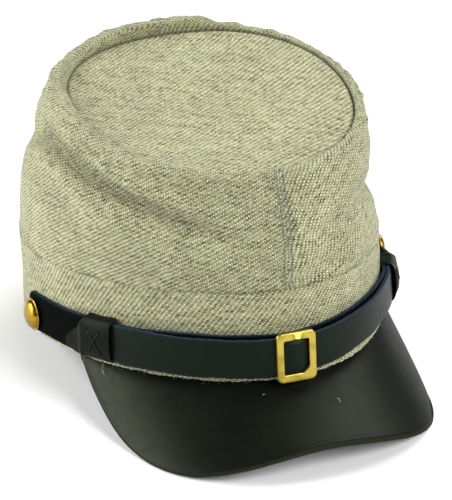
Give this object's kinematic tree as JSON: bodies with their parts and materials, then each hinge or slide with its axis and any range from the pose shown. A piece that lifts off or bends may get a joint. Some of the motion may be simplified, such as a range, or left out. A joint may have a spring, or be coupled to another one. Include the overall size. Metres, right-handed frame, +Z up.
{
  "type": "kepi cap",
  "caption": "Soft twill forage cap with a recessed oval top, cloth band, black leather peak and a buckled leather chin strap held by domed brass buttons.",
  "frame": {"origin": "on the surface it rests on, under the middle of its bounding box", "axes": "+Z up as it rests on the peak's corners and the back of the band, +Y to the back of the cap, +X to the wearer's left"},
  "size_m": [0.1814, 0.2544, 0.1373],
  "materials": {
    "crown_cloth": "coarse light grey-beige twill, matte",
    "top_cloth": "coarse light grey-beige twill, matte",
    "band_cloth": "coarse grey twill with a raw lower edge, matte",
    "peak_leather": "black leather, satin",
    "strap_leather": "black leather with raw blue-black edges, satin",
    "brass": "polished yellow brass"
  },
  "bodies": {
    "root": {"crown_panel_left": "crown_cloth", "crown_panel_right": "crown_cloth", "crown_top": "top_cloth", "band": "band_cloth", "peak": "peak_leather", "strap_inner": "strap_leather", "strap_outer": "strap_leather", "keeper_left": "strap_leather", "keeper_right": "strap_leather", "buckle": "brass", "button_left": "brass", "button_right": "brass"}
  },
  "joints": []
}
